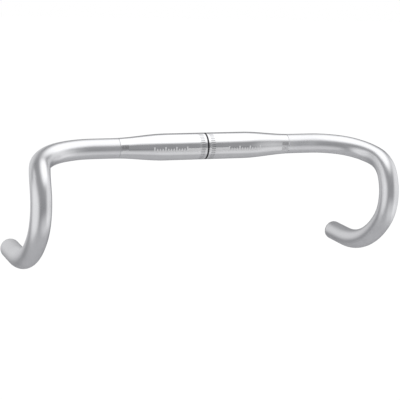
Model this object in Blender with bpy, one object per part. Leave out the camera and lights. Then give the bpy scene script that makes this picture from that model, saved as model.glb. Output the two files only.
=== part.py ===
"""Drop handlebar for a road bicycle: a bent aluminium tube, the polished centre
sleeve that the stem clamps, and a push-in plug in each end.

Frame: metres, +Z up, -Y forward (towards the front wheel), +X to the rider's
left.  The origin is the middle of the clamp section, on its axis.
"""

import math

import bmesh
import bpy
from mathutils import Matrix, Vector

MM = 0.001

# ---- driving dimensions, millimetres and degrees --------------------------
CLAMP_DIA = 31.8            # stem clamp diameter of the centre sleeve
GRIP_DIA = 23.8             # lever and tape diameter of the bent tube
BULGE_FLAT = 50.0           # half length of the full clamp diameter
BULGE_FOOT = 113.4          # where the bulge would run out to the grip diameter
SLEEVE_END = 108.2          # half length of the sleeve
SLEEVE_WALL = 1.1           # sleeve wall at the clamp
SLEEVE_TIP_WALL = 0.6       # sleeve wall at its swaged ends
SLEEVE_TIP_FROM = 80.0      # where the sleeve wall starts to thin

TOPS_HALF = 140.5           # centre to the start of the first bend
CORNER_ENTRY = (109.0, 20.5)    # radius, angle: easing into the corner
CORNER = (55.0, 53.9)           # the corner that turns forwards
RAMP_TILT = 14.2            # how far the corner's plane is tipped down in front
HOOD_ROLL = 78.2            # turn of the bend plane from corner to hood bend
HOOD = (35.2, 49.6)         # the tight bend under the lever hood
HOOK_ROLL = 19.1            # turn of the bend plane, gives the outward flare
HOOK = (53.4, 64.9)         # front of the hook
DROP_ROLL = 1.0
DROP = (113.0, 52.6)        # long bottom curve of the drop
END_STRAIGHT = 34.0         # straight grip end, plug flange included

GRIP_WALL = 1.5             # tube wall in the bends and drops
CENTRE_WALL_TOTAL = 2.7     # sleeve, joint line and tube together at the clamp
BUTT_FROM, BUTT_TO = 98.0, 118.0
JOINT_GAP = 0.3             # gap kept between faces that touch on the real bar

RING_WIDTH = 1.4            # centre mark, a shallow turned groove
RING_DEPTH = 0.25

PLUG_FLANGE = 1.2
PLUG_FLANGE_DIA = 23.4
PLUG_LENGTH = 21.0          # barrel inside the tube
PLUG_BARREL_DIA = 17.8
PLUG_BORE_DIA = 14.4
PLUG_FIN_DIA = 20.0
PLUG_FINS = 3

SIDES = 28                  # facets round the tube


def remove_everything():
    for obj in list(bpy.data.objects):
        bpy.data.objects.remove(obj, do_unlink=True)
    for mesh in list(bpy.data.meshes):
        bpy.data.meshes.remove(mesh)
    for mat in list(bpy.data.materials):
        bpy.data.materials.remove(mat)


def smooth(u):
    u = min(1.0, max(0.0, u))
    return u * u * (3.0 - 2.0 * u)


# ---- radii along the bar, s measured along the centre line from the middle --
def skin_radius(s):
    """Outer radius of the finished bar."""
    lift = smooth((BULGE_FOOT - s) / (BULGE_FOOT - BULGE_FLAT))
    return GRIP_DIA / 2 + (CLAMP_DIA - GRIP_DIA) / 2 * lift


def sleeve_wall(s):
    thin = smooth((s - SLEEVE_TIP_FROM) / (SLEEVE_END - SLEEVE_TIP_FROM))
    return SLEEVE_WALL + (SLEEVE_TIP_WALL - SLEEVE_WALL) * thin


def tube_seat_radius(s):
    """Outer radius of the tube where the sleeve covers it."""
    return skin_radius(s) - sleeve_wall(s) - JOINT_GAP


def bore_radius(s):
    depth = CENTRE_WALL_TOTAL + (GRIP_WALL - CENTRE_WALL_TOTAL) * smooth(
        (s - BUTT_FROM) / (BUTT_TO - BUTT_FROM)
    )
    return skin_radius(s) - depth


# ---- centre line ----------------------------------------------------------
class Walker:
    """Walks straights and bends, and remembers the stations it passes.

    n points to the inside of the next bend.  u is carried along without
    twisting, and sets where facet 0 of every ring lies.
    """

    def __init__(self):
        tilt = math.radians(RAMP_TILT)
        self.s = 0.0
        self.p = Vector((0.0, 0.0, 0.0))
        self.t = Vector((1.0, 0.0, 0.0))
        self.n = Vector((0.0, -math.cos(tilt), -math.sin(tilt)))
        self.u = Vector((0.0, -1.0, 0.0))
        self.stations = []

    def mark(self):
        self.stations.append((self.s, self.p.copy(), self.t.copy(), self.u.copy()))

    def straight(self, length, steps=1):
        start, s0 = self.p.copy(), self.s
        for i in range(1, steps + 1):
            self.p = start + self.t * (length * i / steps)
            self.s = s0 + length * i / steps
            self.mark()

    def straight_to(self, marks):
        for s in marks:
            self.p = self.p + self.t * (s - self.s)
            self.s = s
            self.mark()

    def bend(self, radius, angle, steps):
        centre = self.p + self.n * radius
        axis = self.t.cross(self.n).normalized()
        p0, t0, u0, n0, s0 = self.p.copy(), self.t.copy(), self.u.copy(), self.n.copy(), self.s
        for i in range(1, steps + 1):
            turn = Matrix.Rotation(math.radians(angle) * i / steps, 3, axis)
            self.p = centre + turn @ (p0 - centre)
            self.t = turn @ t0
            self.u = turn @ u0
            self.s = s0 + radius * math.radians(angle) * i / steps
            self.mark()
        self.n = turn @ n0

    def roll(self, angle):
        self.n = Matrix.Rotation(math.radians(angle), 3, self.t) @ self.n


def half_centre_line(straight_marks):
    w = Walker()
    w.mark()
    w.straight_to(straight_marks)
    w.straight(TOPS_HALF - w.s)
    w.bend(*CORNER_ENTRY, steps=4)
    w.bend(*CORNER, steps=7)
    w.roll(HOOD_ROLL)
    w.bend(*HOOD, steps=6)
    w.roll(HOOK_ROLL)
    w.bend(*HOOK, steps=8)
    w.roll(DROP_ROLL)
    w.bend(*DROP, steps=8)
    w.straight(END_STRAIGHT - PLUG_FLANGE - JOINT_GAP, steps=2)
    return w.stations


def mirrored(station):
    """The same station on the rider's right, with the walk still going to +X."""
    s, p, t, u = station
    return (
        s,
        Vector((-p.x, p.y, p.z)),
        Vector((t.x, -t.y, -t.z)),
        Vector((-u.x, u.y, u.z)),
    )


def whole_line(half):
    """Stations from the rider's right end to the left end."""
    right = [mirrored(st) for st in reversed(half) if st[0] > 0.0]
    return right + half


# ---- mesh helpers ---------------------------------------------------------
def add_ring(bm, station, radius, sides=SIDES):
    _, p, t, u = station
    v = t.cross(u)
    ring = []
    for k in range(sides):
        a = 2.0 * math.pi * k / sides
        q = p + (u * math.cos(a) + v * math.sin(a)) * radius
        ring.append(bm.verts.new(q * MM))
    return ring


def join_rings(bm, a, b):
    """Quads between two rings; they face outwards when b is further along."""
    n = len(a)
    for k in range(n):
        m = (k + 1) % n
        bm.faces.new((a[k], a[m], b[m], b[k]))


def skin(bm, rings):
    for a, b in zip(rings, rings[1:]):
        join_rings(bm, a, b)


def material(name, colour, metallic, roughness):
    mat = bpy.data.materials.new(name)
    mat.use_nodes = True
    shader = mat.node_tree.nodes["Principled BSDF"]
    shader.inputs["Base Color"].default_value = (*colour, 1.0)
    shader.inputs["Metallic"].default_value = metallic
    shader.inputs["Roughness"].default_value = roughness
    mat.diffuse_color = (*colour, 1.0)
    return mat


def finish(bm, name, mat, parent):
    bmesh.ops.recalc_face_normals(bm, faces=bm.faces[:])
    mesh = bpy.data.meshes.new(name)
    bm.to_mesh(mesh)
    bm.free()
    mesh.shade_smooth()
    mesh.set_sharp_from_angle(angle=math.radians(35))
    mesh.materials.append(mat)
    obj = bpy.data.objects.new(name, mesh)
    bpy.context.scene.collection.objects.link(obj)
    obj.parent = parent
    return obj


# ---- pieces ---------------------------------------------------------------
def bar_tube(mat, parent):
    """One bent, butted tube; its middle swells under the sleeve and a low
    shoulder at each end of the sleeve keeps the two skins flush."""
    seat_end = SLEEVE_END - 0.1
    shoulder = SLEEVE_END + JOINT_GAP
    marks = [BULGE_FLAT, 58.0, 66.0, 74.0, 82.0, 90.0, 98.0, seat_end]
    half = half_centre_line(marks + [shoulder, BULGE_FOOT])
    line = whole_line(half)

    bm = bmesh.new()
    outer = []
    for st in line:
        s = st[0]
        if s <= seat_end + 1e-6:
            outer.append(add_ring(bm, st, tube_seat_radius(s)))
        elif s <= shoulder + 1e-6:
            # the shoulder is square: the step is two rings at one place
            pair = [
                add_ring(bm, st, tube_seat_radius(seat_end)),
                add_ring(bm, st, skin_radius(s)),
            ]
            outer.extend(pair if st[1].x > 0 else reversed(pair))
        else:
            outer.append(add_ring(bm, st, skin_radius(s)))
    skin(bm, outer)

    # the bore is seen by nobody, so every second station is enough for it
    ends = {0, len(line) - 1}
    bore_line = [
        st for i, st in enumerate(line)
        if i in ends or i % 2 == 0 or abs(abs(st[0]) - BULGE_FLAT) < 1e-6
    ]
    inner = [add_ring(bm, st, bore_radius(st[0])) for st in bore_line]
    skin(bm, list(reversed(inner)))
    join_rings(bm, inner[0], outer[0])
    join_rings(bm, outer[-1], inner[-1])
    return finish(bm, "bar_tube", mat, parent), half[-1]


def centre_sleeve(mat, parent):
    """Bulged sleeve: full clamp diameter in the middle, swaged down to the
    tube at both ends, with the centring groove round its middle."""
    half_ring = RING_WIDTH / 2
    clamp_r = CLAMP_DIA / 2
    outer_half = [
        (0.0, clamp_r - RING_DEPTH),
        (half_ring - 0.15, clamp_r - RING_DEPTH),
        (half_ring, clamp_r),
        (20.0, clamp_r),
    ]
    outer_half += [
        (s, skin_radius(s))
        for s in (BULGE_FLAT, 58.0, 66.0, 74.0, 82.0, 90.0, 98.0, SLEEVE_END)
    ]
    inner_half = [
        (s, skin_radius(s) - sleeve_wall(s))
        for s in (0.0, BULGE_FLAT, 58.0, 66.0, 74.0, 82.0, 90.0, 98.0, SLEEVE_END)
    ]

    def both_ways(half):
        return [(-x, r) for x, r in reversed(half) if x > 0.0] + half

    bm = bmesh.new()

    def ring(x, r):
        station = (x, Vector((x, 0.0, 0.0)), Vector((1.0, 0.0, 0.0)), Vector((0.0, -1.0, 0.0)))
        return add_ring(bm, station, r)

    outer = [ring(x, r) for x, r in both_ways(outer_half)]
    inner = [ring(x, r) for x, r in both_ways(inner_half)]
    skin(bm, outer)
    skin(bm, list(reversed(inner)))
    join_rings(bm, inner[0], outer[0])
    join_rings(bm, outer[-1], inner[-1])
    return finish(bm, "centre_sleeve", mat, parent)


def end_plug(name, mat, parent, end_station):
    """Push-in plug: a thin round-edged flange and a hollow barrel with
    retaining fins.  Modelled along its own +Z, which points out of the bar;
    z = 0 is the face that bears on the tube's end."""
    fr = PLUG_FLANGE_DIA / 2
    barrel, bore, fin = PLUG_BARREL_DIA / 2, PLUG_BORE_DIA / 2, PLUG_FIN_DIA / 2
    # outline from the inner mouth of the barrel, out and round to the top face
    outline = [(-PLUG_LENGTH, bore), (-PLUG_LENGTH, barrel - 0.5), (-PLUG_LENGTH + 0.8, barrel)]
    pitch = (PLUG_LENGTH - 5.0) / PLUG_FINS
    for i in range(PLUG_FINS):
        z = -PLUG_LENGTH + 2.2 + i * pitch
        outline += [(z, barrel), (z + 2.0, fin), (z + 2.8, fin), (z + 2.9, barrel)]
    outline += [
        (0.0, barrel),
        (0.0, fr - 0.1),
        (0.1, fr),
        (PLUG_FLANGE - 0.6, fr),
        (PLUG_FLANGE - 0.2, fr - 0.25),
        (PLUG_FLANGE, fr - 0.8),
    ]
    bore_floor = -2.0

    bm = bmesh.new()

    def ring(z, r):
        station = (z, Vector((0.0, 0.0, z)), Vector((0.0, 0.0, 1.0)), Vector((0.0, -1.0, 0.0)))
        return add_ring(bm, station, r)

    rings = [ring(z, r) for z, r in outline]
    skin(bm, rings)
    bm.faces.new(rings[-1])
    floor_ring = ring(bore_floor, bore - 0.3)
    join_rings(bm, floor_ring, rings[0])
    bm.faces.new(list(reversed(floor_ring)))
    obj = finish(bm, name, mat, parent)

    _, p, t, u = end_station
    # local -Y lies along u, local +Z along the tube's heading
    x_axis = t.cross(-u)
    rotation = Matrix((-x_axis, -u, t)).transposed()
    if rotation.determinant() < 0:
        rotation = Matrix((x_axis, -u, t)).transposed()
    obj.rotation_mode = "QUATERNION"
    obj.rotation_quaternion = rotation.to_quaternion()
    obj.location = (p + t * JOINT_GAP) * MM
    return obj


def build():
    remove_everything()
    satin = material("satin_aluminium", (0.66, 0.67, 0.69), 1.0, 0.38)
    polished = material("polished_aluminium", (0.84, 0.84, 0.85), 1.0, 0.14)
    black = material("black_plastic", (0.025, 0.025, 0.027), 0.0, 0.5)

    root = bpy.data.objects.new("handlebar", None)
    bpy.context.scene.collection.objects.link(root)

    _, left_end = bar_tube(satin, root)
    centre_sleeve(polished, root)
    end_plug("left_end_plug", black, root, left_end)
    s, p, t, u = mirrored(left_end)
    # at the right end the plug looks back along the walk
    end_plug("right_end_plug", black, root, (s, p, -t, u))


build()
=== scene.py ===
import math

import bmesh
import bpy
import numpy as np
from mathutils import Matrix, Vector


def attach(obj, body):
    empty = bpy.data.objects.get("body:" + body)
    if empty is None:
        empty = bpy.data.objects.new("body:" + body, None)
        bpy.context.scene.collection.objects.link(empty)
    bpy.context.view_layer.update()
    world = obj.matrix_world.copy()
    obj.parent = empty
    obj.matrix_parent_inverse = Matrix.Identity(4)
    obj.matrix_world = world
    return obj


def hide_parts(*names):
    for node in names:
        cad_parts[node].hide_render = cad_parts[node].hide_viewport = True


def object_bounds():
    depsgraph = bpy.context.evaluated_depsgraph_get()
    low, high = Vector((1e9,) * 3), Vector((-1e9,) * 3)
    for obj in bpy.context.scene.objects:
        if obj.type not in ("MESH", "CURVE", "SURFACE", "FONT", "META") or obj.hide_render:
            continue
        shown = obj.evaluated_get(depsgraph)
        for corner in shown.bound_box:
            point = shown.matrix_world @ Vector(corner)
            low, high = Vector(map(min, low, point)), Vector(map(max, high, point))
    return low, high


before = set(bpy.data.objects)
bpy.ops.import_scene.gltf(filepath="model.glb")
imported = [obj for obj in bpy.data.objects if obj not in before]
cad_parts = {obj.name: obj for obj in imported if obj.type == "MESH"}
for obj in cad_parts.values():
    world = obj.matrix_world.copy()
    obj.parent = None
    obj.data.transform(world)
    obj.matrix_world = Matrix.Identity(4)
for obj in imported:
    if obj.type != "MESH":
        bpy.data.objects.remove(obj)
cad_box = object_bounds()

# Looks for the drop handlebar: fine meshes, metal and plastic materials, studio.

MM = 0.001

# ---- the CAD design's own dimensions, millimetres and degrees --------------
CLAMP_DIA = 31.8
GRIP_DIA = 23.8
BULGE_FLAT = 50.0
BULGE_FOOT = 113.4
SLEEVE_END = 108.2
SLEEVE_WALL = 1.1
SLEEVE_TIP_WALL = 0.6
SLEEVE_TIP_FROM = 80.0
TOPS_HALF = 140.5
CORNER_ENTRY = (109.0, 20.5)
CORNER = (55.0, 53.9)
RAMP_TILT = 14.2
HOOD_ROLL = 78.2
HOOD = (35.2, 49.6)
HOOK_ROLL = 19.1
HOOK = (53.4, 64.9)
DROP_ROLL = 1.0
DROP = (113.0, 52.6)
END_STRAIGHT = 34.0
GRIP_WALL = 1.5
CENTRE_WALL_TOTAL = 2.7
BUTT_FROM, BUTT_TO = 98.0, 118.0
RING_WIDTH = 1.4
RING_DEPTH = 0.25
PLUG_FLANGE = 1.2
PLUG_FLANGE_DIA = 23.4
PLUG_LENGTH = 21.0
PLUG_BARREL_DIA = 17.8
PLUG_BORE_DIA = 14.4
PLUG_FIN_DIA = 20.0
PLUG_FINS = 3

# ---- what the looks add ----------------------------------------------------
JOINT_LINE = 0.12           # visible joint between sleeve and tube
SKIN_TRIM = 0.02            # keeps the round skin within the faceted solid's box
RING_EDGE = 0.42            # the dark ring runs a little past its groove
TUBE_SIDES = 72
SLEEVE_TICKS = 40           # etched alignment ticks round the clamp
SIDES_PER_TICK = 6
TICK_FROM, TICK_TO = 3.8, 9.2
TICK_DEPTH = 0.12
SCALE_FROM, SCALE_PITCH, SCALE_TICK, SCALE_COUNT = 26.0, 3.4, 1.7, 13
SCALE_BASE = -9.0           # degrees up from straight ahead
PAINTED_HIGHLIGHT_BAND = (-14.0, 3.0)       # degrees up, a painted highlight: a white band from scale to scale
PATCH_FROM, PATCH_TO, DASH_TO = 98.4, 107.0, 106.0


def scale_tick(k):
    """Where tick k of a scale starts and ends, millimetres from the middle."""
    return SCALE_FROM + k * SCALE_PITCH, SCALE_FROM + k * SCALE_PITCH + SCALE_TICK


def smooth(u):
    u = np.clip(u, 0.0, 1.0)
    return u * u * (3.0 - 2.0 * u)


def skin_radius(s):
    lift = smooth((BULGE_FOOT - s) / (BULGE_FOOT - BULGE_FLAT))
    return GRIP_DIA / 2 + (CLAMP_DIA - GRIP_DIA) / 2 * lift


def sleeve_wall(s):
    thin = smooth((s - SLEEVE_TIP_FROM) / (SLEEVE_END - SLEEVE_TIP_FROM))
    return SLEEVE_WALL + (SLEEVE_TIP_WALL - SLEEVE_WALL) * thin


def bore_radius(s):
    depth = CENTRE_WALL_TOTAL + (GRIP_WALL - CENTRE_WALL_TOTAL) * smooth(
        (s - BUTT_FROM) / (BUTT_TO - BUTT_FROM)
    )
    return skin_radius(s) - depth


# ---- centre line -----------------------------------------------------------
def turned(v, axis, angle):
    """v turned about a unit axis, Rodrigues' formula."""
    c, s = math.cos(angle), math.sin(angle)
    return v * c + np.cross(axis, v) * s + axis * (axis @ v) * (1 - c)


def dense_half(step=0.5):
    """Points every half millimetre along the left half, straights and bends."""
    tilt = math.radians(RAMP_TILT)
    p, t = np.zeros(3), np.array([1.0, 0.0, 0.0])
    n = np.array([0.0, -math.cos(tilt), -math.sin(tilt)])
    pts = [p.copy()]

    def straight(length):
        nonlocal p
        k = max(1, round(length / step))
        start = p.copy()
        for i in range(1, k + 1):
            p = start + t * (length * i / k)
            pts.append(p.copy())

    def bend(radius, angle):
        nonlocal p, t, n
        centre, axis = p + n * radius, np.cross(t, n)
        axis /= np.linalg.norm(axis)
        k = max(2, round(radius * math.radians(angle) / step))
        p0, t0, n0 = p.copy(), t.copy(), n.copy()
        for i in range(1, k + 1):
            a = math.radians(angle) * i / k
            p = centre + turned(p0 - centre, axis, a)
            pts.append(p.copy())
        a = math.radians(angle)
        t, n = turned(t0, axis, a), turned(n0, axis, a)

    def roll(angle):
        nonlocal n
        n = turned(n, t, math.radians(angle))

    straight(TOPS_HALF)
    bend(*CORNER_ENTRY)
    bend(*CORNER)
    roll(HOOD_ROLL)
    bend(*HOOD)
    roll(HOOK_ROLL)
    bend(*HOOK)
    roll(DROP_ROLL)
    bend(*DROP)
    straight(END_STRAIGHT)
    return np.array(pts)


def half_line():
    """The left half's centre line with its bends eased into each other, as
    spring-back leaves them: positions, directions and lengths from the middle."""
    raw = dense_half()
    s = np.r_[0.0, np.cumsum(np.linalg.norm(np.diff(raw, axis=0), axis=1))]
    even = np.linspace(0.0, s[-1], int(s[-1] / 0.5) + 1)
    pts = np.array([np.interp(even, s, raw[:, k]) for k in range(3)]).T
    sigma = 3.2 / (even[1] - even[0])
    reach = int(3 * sigma)
    kernel = np.exp(-0.5 * (np.arange(-reach, reach + 1) / sigma) ** 2)
    kernel /= kernel.sum()
    # past both ends the line runs on straight, so the ends stay where they are
    head = pts[0] + (pts[0] - pts[1]) * np.arange(reach, 0, -1)[:, None]
    tail = pts[-1] + (pts[-1] - pts[-2]) * np.arange(1, reach + 1)[:, None]
    padded = np.vstack([head, pts, tail])
    eased = np.array(
        [np.convolve(padded[:, k], kernel, mode="valid") for k in range(3)]
    ).T
    eased[0] = (0.0, 0.0, 0.0)
    length = np.r_[0.0, np.cumsum(np.linalg.norm(np.diff(eased, axis=0), axis=1))]
    heading = np.gradient(eased, axis=0)
    heading /= np.linalg.norm(heading, axis=1)[:, None]
    return eased, heading, length


LINE, HEADING, LENGTH = half_line()
HALF = LENGTH[-1]


def carried_sides():
    """A sideways direction at each point, carried along without twisting."""
    u = np.array([0.0, -1.0, 0.0])
    out = [u]
    for a, b in zip(HEADING[:-1], HEADING[1:]):
        axis = np.cross(a, b)
        size = np.linalg.norm(axis)
        if size > 1e-12:
            u = turned(u, axis / size, math.atan2(size, a @ b))
        u = u - b * (u @ b)
        u = u / np.linalg.norm(u)
        out.append(u)
    return np.array(out)


SIDE = carried_sides()


def station(s):
    """(s, point, heading, side) at length s from the middle; negative s is the
    rider's right, and the walk goes to +X all along."""
    a = abs(s)
    p = np.array([np.interp(a, LENGTH, LINE[:, k]) for k in range(3)])
    t = np.array([np.interp(a, LENGTH, HEADING[:, k]) for k in range(3)])
    u = np.array([np.interp(a, LENGTH, SIDE[:, k]) for k in range(3)])
    t /= np.linalg.norm(t)
    u -= t * (u @ t)
    u /= np.linalg.norm(u)
    if s < 0:
        p, t, u = p * (-1, 1, 1), t * (1, -1, -1), u * (-1, 1, 1)
    return a, p, t, u


# ---- mesh helpers ----------------------------------------------------------
def ring_points(st, radius, sides):
    _, p, t, u = st
    v = np.cross(t, u)
    a = 2.0 * np.pi * np.arange(sides) / sides
    r = np.broadcast_to(radius, (sides,))
    return (p + (np.cos(a)[:, None] * u + np.sin(a)[:, None] * v) * r[:, None]) * MM


def new_piece(name, verts, faces, mats, face_mats=None, sharp=35.0):
    mesh = bpy.data.meshes.new(name)
    mesh.from_pydata([tuple(map(float, v)) for v in verts], [], faces)
    for m in mats:
        mesh.materials.append(m)
    if face_mats is not None:
        mesh.polygons.foreach_set("material_index", face_mats)
    mesh.validate()
    mesh.shade_smooth()
    mesh.set_sharp_from_angle(angle=math.radians(sharp))
    obj = bpy.data.objects.new(name, mesh)
    bpy.context.scene.collection.objects.link(obj)
    return obj


def loft(rings, closed=False):
    """Vertices and quads of a skin through rings of equal counts. closed joins
    the last ring to the first, which makes a ring-shaped wall."""
    n = len(rings[0])
    verts = np.vstack(rings)
    faces = []
    pairs = list(zip(range(len(rings) - 1), range(1, len(rings))))
    if closed:
        pairs.append((len(rings) - 1, 0))
    for a, b in pairs:
        for k in range(n):
            m = (k + 1) % n
            faces.append((a * n + k, a * n + m, b * n + m, b * n + k))
    return verts, faces


# ---- materials -------------------------------------------------------------
def node_material(name):
    mat = bpy.data.materials.new(name)
    mat.use_nodes = True
    nt = mat.node_tree
    shader = nt.nodes["Principled BSDF"]
    return mat, nt, shader


def link(nt, a, b):
    nt.links.new(a, b)


def coords(nt, scale):
    tex = nt.nodes.new("ShaderNodeTexCoord")
    mapping = nt.nodes.new("ShaderNodeMapping")
    mapping.inputs["Scale"].default_value = scale
    link(nt, tex.outputs["Object"], mapping.inputs["Vector"])
    return mapping.outputs["Vector"]


def noise(nt, vector, scale, detail=2.0, rough=0.5):
    n = nt.nodes.new("ShaderNodeTexNoise")
    n.inputs["Scale"].default_value = scale
    n.inputs["Detail"].default_value = detail
    n.inputs["Roughness"].default_value = rough
    link(nt, vector, n.inputs["Vector"])
    return n.outputs["Fac"]


def ranged(nt, value, low, high, from_low=0.3, from_high=0.7):
    m = nt.nodes.new("ShaderNodeMapRange")
    m.inputs["From Min"].default_value = from_low
    m.inputs["From Max"].default_value = from_high
    m.inputs["To Min"].default_value = low
    m.inputs["To Max"].default_value = high
    link(nt, value, m.inputs["Value"])
    return m.outputs["Result"]


def grey_mix(nt, factor, dark, light):
    mix = nt.nodes.new("ShaderNodeMix")
    mix.data_type = "RGBA"
    mix.inputs["A"].default_value = (*dark, 1.0)
    mix.inputs["B"].default_value = (*light, 1.0)
    link(nt, factor, mix.inputs["Factor"])
    return mix.outputs["Result"]


def maths(nt, operation, a, b):
    m = nt.nodes.new("ShaderNodeMath")
    m.operation = operation
    for socket, value in zip(m.inputs, (a, b)):
        if isinstance(value, (int, float)):
            socket.default_value = value
        else:
            link(nt, value, socket)
    return m.outputs[0]


def bump(nt, height, distance, strength=1.0, normal=None):
    b = nt.nodes.new("ShaderNodeBump")
    b.inputs["Strength"].default_value = strength
    b.inputs["Distance"].default_value = distance
    link(nt, height, b.inputs["Height"])
    if normal is not None:
        link(nt, normal, b.inputs["Normal"])
    return b.outputs["Normal"]


def satin_aluminium():
    """Bead-blasted and clear anodised: an even frosted sheen with a very fine
    grain, faint clouding, and a few slightly smoother handling marks."""
    mat, nt, sh = node_material("satin_aluminium")
    sh.inputs["Metallic"].default_value = 1.0
    place = coords(nt, (1.0, 1.0, 1.0))
    grain = noise(nt, place, 2600.0, 3.0, 0.6)
    cloud = noise(nt, place, 38.0, 3.0, 0.55)
    fine = noise(nt, place, 420.0, 2.0, 0.5)
    tone = maths(nt, "ADD", maths(nt, "MULTIPLY", cloud, 0.65), maths(nt, "MULTIPLY", fine, 0.35))
    link(nt, grey_mix(nt, ranged(nt, tone, 0.0, 1.0, 0.35, 0.65), (0.785, 0.787, 0.797), (0.835, 0.837, 0.845)), sh.inputs["Base Color"])
    rough = maths(nt, "ADD", ranged(nt, cloud, 0.280, 0.325), ranged(nt, grain, -0.02, 0.02))
    link(nt, rough, sh.inputs["Roughness"])
    link(nt, bump(nt, grain, 0.00003, 0.35), sh.inputs["Normal"])
    return mat


def polished_aluminium():
    """Buffed bright: long fine buffing lines along the bar, a little haze."""
    mat, nt, sh = node_material("polished_aluminium")
    sh.inputs["Metallic"].default_value = 1.0
    along = coords(nt, (0.035, 1.0, 1.0))
    lines = noise(nt, along, 900.0, 2.0, 0.5)
    broad = noise(nt, along, 170.0, 2.0, 0.5)
    haze = noise(nt, coords(nt, (1.0, 1.0, 1.0)), 60.0, 2.0, 0.5)
    link(nt, grey_mix(nt, ranged(nt, haze, 0.0, 1.0), (0.82, 0.822, 0.828), (0.865, 0.866, 0.87)), sh.inputs["Base Color"])
    rough = maths(nt, "ADD", ranged(nt, lines, 0.13, 0.17), ranged(nt, haze, -0.01, 0.02))
    link(nt, rough, sh.inputs["Roughness"])
    height = maths(nt, "ADD", maths(nt, "MULTIPLY", lines, 0.35), broad)
    link(nt, bump(nt, height, 0.00006, 0.5), sh.inputs["Normal"])
    return mat


def etched_mark(name, dark, light, rough, metallic):
    """Laser-etched or filled marking in the polished skin; the white one also paints the highlight band
    by the ring.
    """
    mat, nt, sh = node_material(name)
    sh.inputs["Metallic"].default_value = metallic
    grain = noise(nt, coords(nt, (1.0, 1.0, 1.0)), 1500.0, 2.0, 0.5)
    link(nt, grey_mix(nt, ranged(nt, grain, 0.0, 1.0), dark, light), sh.inputs["Base Color"])
    link(nt, ranged(nt, grain, rough - 0.05, rough + 0.05), sh.inputs["Roughness"])
    return mat


def black_plastic():
    """Moulded plug: fine spark-eroded texture."""
    mat, nt, sh = node_material("black_plastic")
    place = coords(nt, (1.0, 1.0, 1.0))
    grain = noise(nt, place, 1400.0, 3.0, 0.6)
    cloud = noise(nt, place, 90.0, 2.0, 0.5)
    link(nt, grey_mix(nt, ranged(nt, cloud, 0.0, 1.0), (0.018, 0.018, 0.019), (0.032, 0.032, 0.034)), sh.inputs["Base Color"])
    link(nt, ranged(nt, grain, 0.42, 0.58), sh.inputs["Roughness"])
    link(nt, bump(nt, grain, 0.00005, 0.5), sh.inputs["Normal"])
    return mat


SATIN = satin_aluminium()
POLISHED = polished_aluminium()
RING_DARK = etched_mark("centre_ring_dark", (0.055, 0.055, 0.058), (0.09, 0.09, 0.094), 0.34, 0.9)
TICK_GREY = etched_mark("tick_grey", (0.46, 0.46, 0.465), (0.54, 0.54, 0.545), 0.30, 1.0)
# white matte marks: the scale and the dash, and also the painted highlight band by the ring
FROSTED_MARK_AND_HIGHLIGHT = etched_mark("frosted_mark_and_painted_highlight", (0.93, 0.93, 0.93), (0.98, 0.98, 0.98), 0.75, 0.0)
PATCH_GREY = etched_mark("patch_grey", (0.50, 0.50, 0.505), (0.60, 0.60, 0.605), 0.3, 1.0)
PATCH_PALE = etched_mark("patch_pale", (0.70, 0.70, 0.705), (0.80, 0.80, 0.805), 0.5, 0.5)
BLACK = black_plastic()


# ---- pieces ----------------------------------------------------------------
def make_tube():
    """The whole bent tube with its open bore, its seat under the sleeve and
    the two shoulders that meet the sleeve's ends."""
    end = HALF - PLUG_FLANGE - 0.15
    shoulder = SLEEVE_END + JOINT_LINE
    seat_gap = 0.25
    out = []

    def outer(sign):
        rings = []
        for s in (0.0, 25.0, BULGE_FLAT, 58.0, 66.0, 74.0, 82.0, 90.0, 98.0, SLEEVE_END - 0.1):
            rings.append((sign * s, skin_radius(s) - sleeve_wall(s) - seat_gap))
        rings.append((sign * shoulder, skin_radius(shoulder) - 0.85))
        rings.append((sign * shoulder, skin_radius(shoulder) - 0.08))
        rings.append((sign * (shoulder + 0.08), skin_radius(shoulder + 0.08)))
        s = shoulder + 1.0
        while s < end - 1.2:
            rings.append((sign * s, skin_radius(s)))
            s += 4.0 if s < TOPS_HALF - 12 else 2.0
        rings.append((sign * (end - 0.35), GRIP_DIA / 2))
        rings.append((sign * (end - 0.1), GRIP_DIA / 2 - 0.08))
        rings.append((sign * end, GRIP_DIA / 2 - 0.25))
        return rings

    def inner(sign):
        rings = []
        s = 0.0
        while s < end - 1.2:
            rings.append((sign * s, bore_radius(s)))
            s += 8.0
        rings.append((sign * (end - 0.3), GRIP_DIA / 2 - GRIP_WALL))
        rings.append((sign * end, GRIP_DIA / 2 - GRIP_WALL + 0.25))
        return rings

    left, right = outer(1), outer(-1)
    skin = [(s, r - SKIN_TRIM) for s, r in right[::-1][:-1] + left]
    bore = inner(-1)[::-1][:-1] + inner(1)
    rings = [ring_points(station(s if s else 1e-9), r, TUBE_SIDES) for s, r in skin]
    rings += [ring_points(station(s if s else 1e-9), r, TUBE_SIDES) for s, r in bore[::-1]]
    verts, faces = loft(rings, closed=True)
    return new_piece("bar_tube_skin", verts, faces, [SATIN], sharp=40.0)


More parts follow.
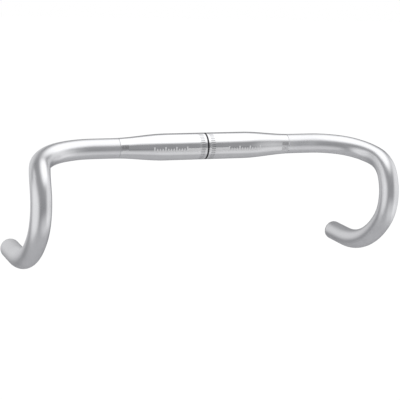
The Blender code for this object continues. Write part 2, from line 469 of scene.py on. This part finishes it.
def make_sleeve():
    """Polished sleeve with the centre ring and the etched ticks cut into it, its plain markings: a
    graduated scale on each side and a small two-tone patch by each finish line, and a white band from
    scale to scale that is a painted highlight."""
    sides = SLEEVE_TICKS * SIDES_PER_TICK
    half_ring = RING_WIDTH / 2
    clamp = CLAMP_DIA / 2
    col = np.arange(sides) % SIDES_PER_TICK
    in_tick = (col == 1) | (col == 2)          # vertices on a tick's floor
    tick_face = col <= 2                       # its floor and its two walls
    # height angle of each column's face, upwards from straight ahead
    up = -((np.arange(sides) + 0.5) * 360.0 / sides)
    up = np.where(up < -180.0, up + 360.0, up)

    heights = [(0.0, 1), (half_ring - 0.02, 1), (half_ring, 0), (half_ring + RING_EDGE, 0), (2.4, 0), (TICK_FROM, 0), (TICK_FROM + 0.25, 2),
               (0.5 * (TICK_FROM + TICK_TO), 2), (TICK_TO - 0.25, 2), (TICK_TO, 0), (12.0, 0)]
    cuts = sorted(
        {round(x, 3) for i in range(SCALE_COUNT) for x in scale_tick(i)}
        | {PATCH_FROM, PATCH_TO, DASH_TO, 20.0, 46.0, BULGE_FLAT}
        | {float(x) for x in np.arange(BULGE_FLAT, SLEEVE_END - 1.0, 2.5)}
    )
    rows = []
    for s, kind in heights:
        r = np.full(sides, clamp)
        if kind == 1:
            r -= RING_DEPTH
        elif kind == 2:
            r = np.where(in_tick, clamp - TICK_DEPTH, clamp)
        rows.append((s, r))
    for s in cuts:
        if s > 12.2:
            rows.append((s, np.full(sides, float(skin_radius(s)))))
    rows.append((SLEEVE_END - 0.5, np.full(sides, float(skin_radius(SLEEVE_END - 0.5)))))
    rows.append((SLEEVE_END - 0.1, np.full(sides, float(skin_radius(SLEEVE_END)) - 0.01)))
    rows.append((SLEEVE_END, np.full(sides, float(skin_radius(SLEEVE_END)) - 0.1)))

    inner = [
        (s, np.full(sides, float(skin_radius(s) - sleeve_wall(s))))
        for s in (0.0, BULGE_FLAT, 58.0, 66.0, 74.0, 82.0, 90.0, 98.0, SLEEVE_END)
    ]

    def both(half):
        return [(-s, r) for s, r in half[::-1] if s > 0] + half

    outer_rows, inner_rows = both(rows), both(inner)
    all_rows = outer_rows + inner_rows[::-1]
    axis_u = np.array([0.0, -1.0, 0.0])
    rings = [
        ring_points((s, np.array([s, 0.0, 0.0]), np.array([1.0, 0.0, 0.0]), axis_u), r, sides)
        for s, r in all_rows
    ]
    verts, faces = loft(rings, closed=True)
    mats = np.zeros(len(faces), int)
    for i in range(len(outer_rows) - 1):
        mid = 0.5 * (outer_rows[i][0] + outer_rows[i + 1][0])
        a, side = abs(mid), (1 if mid > 0 else -1)
        m = np.zeros(sides, int)
        if a < SCALE_FROM:
            # painted highlight: a white band standing in for a reflection on the polished skin
            m[(up > PAINTED_HIGHLIGHT_BAND[0]) & (up < PAINTED_HIGHLIGHT_BAND[1])] = 3
        if a < half_ring + RING_EDGE:
            m[:] = 1
        elif TICK_FROM < a < TICK_TO:
            m[tick_face] = 2
        else:
            # the scale: a base line with short and long ticks standing on it
            base = SCALE_BASE if side < 0 else SCALE_BASE - 3.0
            if scale_tick(0)[0] < a < scale_tick(SCALE_COUNT - 1)[1]:
                m[(up > base) & (up < base + 1.6)] = 3
            for k in range(SCALE_COUNT):
                lo, hi = scale_tick(k)
                if lo < a < hi:
                    tall = 19.5 if k % 4 == 0 else 12.0
                    m[(up > base) & (up < base + tall)] = 3
            if PATCH_FROM < a < PATCH_TO:
                if side < 0:
                    m[(up > 6.0) & (up < 28.5)] = 4
                else:
                    m[(up > 3.0) & (up < 19.5)] = 4
                    m[(up > -27.0) & (up < -4.5)] = 5
            if PATCH_FROM < a < DASH_TO and side < 0:
                m[(up > -13.5) & (up < -3.0)] = 3
        mats[i * sides:(i + 1) * sides] = m
    return new_piece(
        "centre_sleeve_skin", verts, faces,
        [POLISHED, RING_DARK, TICK_GREY, FROSTED_MARK_AND_HIGHLIGHT, PATCH_GREY, PATCH_PALE], mats, sharp=40.0,
    )


def make_plug(name, sign):
    """Push-in plug: rolled flange, dished face with a raised ring, finned barrel."""
    sides = 64
    fr = PLUG_FLANGE_DIA / 2
    barrel, bore, fin = PLUG_BARREL_DIA / 2, PLUG_BORE_DIA / 2, PLUG_FIN_DIA / 2
    f = PLUG_FLANGE
    rows = [(-PLUG_LENGTH, bore), (-PLUG_LENGTH, barrel - 0.5), (-PLUG_LENGTH + 0.8, barrel)]
    pitch = (PLUG_LENGTH - 5.0) / PLUG_FINS
    for i in range(PLUG_FINS):
        z = -PLUG_LENGTH + 2.2 + i * pitch
        rows += [(z, barrel), (z + 2.0, fin), (z + 2.6, fin), (z + 2.9, barrel)]
    rows += [(-0.3, barrel), (0.0, barrel + 0.2), (0.0, fr - 0.12), (0.12, fr)]
    for i in range(1, 7):
        a = math.radians(15 * i)
        rows.append((f - 0.75 + 0.75 * math.sin(a), fr - 0.75 + 0.75 * math.cos(a)))
    rows += [
        (f, 9.4), (f - 0.08, 9.2), (f - 0.35, 8.9), (f - 0.42, 8.6),
        (f - 0.42, 5.4), (f - 0.36, 5.2), (f - 0.16, 4.9), (f - 0.1, 4.6), (f - 0.1, 3.6),
        (f - 0.16, 3.3), (f - 0.36, 3.0), (f - 0.42, 2.8), (f - 0.42, 0.6),
    ]
    st = station(sign * (HALF - PLUG_FLANGE))
    _, p, t, u = st
    out = t if sign > 0 else -t
    rings = [
        ring_points((0, p + out * z, out, u), r, sides)
        for z, r in rows
    ]
    verts, faces = loft(rings)
    n = len(rings)
    faces.append(tuple((n - 1) * sides + k for k in range(sides)))
    floor_pts = ring_points((0, p + out * -2.0, out, u), bore - 0.3, sides)
    base = len(verts)
    verts = np.vstack([verts, floor_pts])
    for k in range(sides):
        m = (k + 1) % sides
        faces.append((base + k, base + m, m, k))
    faces.append(tuple(base + k for k in range(sides - 1, -1, -1)))
    return new_piece(name, verts, faces, [BLACK], sharp=30.0)


tube = make_tube()
sleeve = make_sleeve()
plug_left = make_plug("left_end_plug_skin", 1)
plug_right = make_plug("right_end_plug_skin", -1)

for piece, node, slot in (
    (tube, "bar_tube", "satin_aluminium"),
    (sleeve, "centre_sleeve", "polished_aluminium"),
    (plug_left, "left_end_plug", "black_plastic"),
    (plug_right, "right_end_plug", "black_plastic"),
):
    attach(piece, "root")
    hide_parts(node)

# ---- floor -----------------------------------------------------------------
low, high = cad_box
FLOOR_Z = low.z - 0.95      # the bar hangs clear of it, as in a product shot


def make_floor():
    """Plain pale sheet. The camera sees it lit up to white; in the bar's
    reflections it is matt paper, lit by the boxes."""
    mesh = bpy.data.meshes.new("studio_floor")
    size = 14.0
    mesh.from_pydata(
        [(-size, -size, FLOOR_Z), (size, -size, FLOOR_Z), (size, size, FLOOR_Z), (-size, size, FLOOR_Z)],
        [], [(0, 1, 2, 3)],
    )
    obj = bpy.data.objects.new("studio_floor", mesh)
    bpy.context.scene.collection.objects.link(obj)
    mat = bpy.data.materials.new("studio_floor")
    mat.use_nodes = True
    nt = mat.node_tree
    nt.nodes.clear()
    out = nt.nodes.new("ShaderNodeOutputMaterial")
    glow = nt.nodes.new("ShaderNodeEmission")
    glow.inputs["Color"].default_value = (0.98, 0.98, 0.98, 1.0)
    paper = nt.nodes.new("ShaderNodeBsdfDiffuse")
    paper.inputs["Color"].default_value = (0.16, 0.16, 0.16, 1.0)
    seen = nt.nodes.new("ShaderNodeAddShader")
    mirrored = nt.nodes.new("ShaderNodeBsdfDiffuse")
    mirrored.inputs["Color"].default_value = (0.80, 0.80, 0.81, 1.0)
    mix = nt.nodes.new("ShaderNodeMixShader")
    path = nt.nodes.new("ShaderNodeLightPath")
    nt.links.new(glow.outputs["Emission"], seen.inputs[0])
    nt.links.new(paper.outputs["BSDF"], seen.inputs[1])
    nt.links.new(path.outputs["Is Camera Ray"], mix.inputs["Fac"])
    nt.links.new(mirrored.outputs["BSDF"], mix.inputs[1])
    nt.links.new(seen.outputs["Shader"], mix.inputs[2])
    nt.links.new(mix.outputs["Shader"], out.inputs["Surface"])
    mesh.materials.append(mat)
    return obj


make_floor()


# ---- lights ----------------------------------------------------------------
def softbox(name, place, width, height, radiance, core):
    """A diffused box, hot in the middle and fading to nothing at its rim, aimed
    at the bar. core is the share of its half width that is evenly bright."""
    data = bpy.data.lights.new(name, "AREA")
    data.shape = "RECTANGLE"
    data.size, data.size_y = width, height
    data.energy = radiance * math.pi * width * height
    data.use_nodes = True
    nt = data.node_tree
    glow = next(n for n in nt.nodes if n.type == "EMISSION")
    where = nt.nodes.new("ShaderNodeNewGeometry")
    centred = nt.nodes.new("ShaderNodeVectorMath")
    centred.operation = "SUBTRACT"
    centred.inputs[1].default_value = (0.5, 0.5, 0.0)
    radius = nt.nodes.new("ShaderNodeVectorMath")
    radius.operation = "LENGTH"
    fade = nt.nodes.new("ShaderNodeMapRange")
    fade.interpolation_type = "SMOOTHSTEP"
    fade.inputs["From Min"].default_value = 0.5 * core
    fade.inputs["From Max"].default_value = 0.5
    fade.inputs["To Min"].default_value = 1.0
    fade.inputs["To Max"].default_value = 0.0
    nt.links.new(where.outputs["Parametric"], centred.inputs[0])
    nt.links.new(centred.outputs["Vector"], radius.inputs[0])
    nt.links.new(radius.outputs["Value"], fade.inputs["Value"])
    nt.links.new(fade.outputs["Result"], glow.inputs["Strength"])
    obj = bpy.data.objects.new(name, data)
    obj.location = place
    aim = Vector((0.0, -0.02, -0.04)) - Vector(place)
    obj.rotation_mode = "QUATERNION"
    obj.rotation_quaternion = aim.to_track_quat("-Z", "Y")
    obj.visible_camera = False
    bpy.context.scene.collection.objects.link(obj)
    return obj


def around(azimuth, elevation, distance):
    """A place round the bar: azimuth from straight ahead (-Y) towards +X."""
    a, e = math.radians(azimuth), math.radians(elevation)
    return Vector((math.sin(a) * math.cos(e), -math.cos(a) * math.cos(e), math.sin(e))) * distance


softbox("overhead_softbox", (0.18, -0.035, 0.53), 1.68, 1.06, 0.99, 0.38)
softbox("right_softbox", around(79, -2, 1.20), 3.1, 2.9, 0.55, 0.40)
softbox("left_softbox", around(-78, -10, 1.20), 2.8, 2.5, 0.63, 0.32)
softbox("left_high_softbox", around(-98, 31, 1.10), 1.2, 0.55, 0.50, 0.20)
softbox("back_softbox", around(-158, 4, 1.30), 2.7, 2.0, 0.42, 0.30)
softbox("front_low_softbox", around(26, -38, 1.10), 2.8, 1.3, 0.34, 0.20)


def studio_world():
    world = bpy.data.worlds.new("studio")
    bpy.context.scene.world = world
    world.use_nodes = True
    nt = world.node_tree
    nt.nodes.clear()
    out = nt.nodes.new("ShaderNodeOutputWorld")
    room = nt.nodes.new("ShaderNodeBackground")
    room.inputs["Color"].default_value = (0.32, 0.322, 0.333, 1.0)
    white = nt.nodes.new("ShaderNodeBackground")
    white.inputs["Color"].default_value = (1.0, 1.0, 1.0, 1.0)
    mix = nt.nodes.new("ShaderNodeMixShader")
    path = nt.nodes.new("ShaderNodeLightPath")
    nt.links.new(path.outputs["Is Camera Ray"], mix.inputs["Fac"])
    nt.links.new(room.outputs["Background"], mix.inputs[1])
    nt.links.new(white.outputs["Background"], mix.inputs[2])
    nt.links.new(mix.outputs["Shader"], out.inputs["Surface"])


studio_world()

# ---- camera ----------------------------------------------------------------
CAM_AZ, CAM_EL, CAM_ROLL = -22.81, 12.87, 2.79      # degrees
CAM_SHIFT = (0.00438, 0.06459)                      # metres, right and up
CAM_DISTANCE = 1.4967
CAM_LENS = 112.81


def make_camera():
    data = bpy.data.cameras.new("camera")
    data.lens = CAM_LENS
    data.sensor_width = 36.0
    data.clip_start, data.clip_end = 0.05, 60.0
    cam = bpy.data.objects.new("camera", data)
    bpy.context.scene.collection.objects.link(cam)
    a, e, r = (math.radians(x) for x in (CAM_AZ, CAM_EL, CAM_ROLL))
    back = Vector((math.sin(a) * math.cos(e), -math.cos(a) * math.cos(e), math.sin(e)))
    right = Vector((0, 0, 1)).cross(back).normalized()
    up = back.cross(right)
    right2 = right * math.cos(r) + up * math.sin(r)
    up2 = up * math.cos(r) - right * math.sin(r)
    cam.location = back * CAM_DISTANCE - right2 * CAM_SHIFT[0] - up2 * CAM_SHIFT[1]
    cam.rotation_mode = "QUATERNION"
    cam.rotation_quaternion = Matrix((right2, up2, back)).transposed().to_quaternion()
    bpy.context.scene.camera = cam


make_camera()
bpy.context.scene.view_settings.view_transform = "Standard"
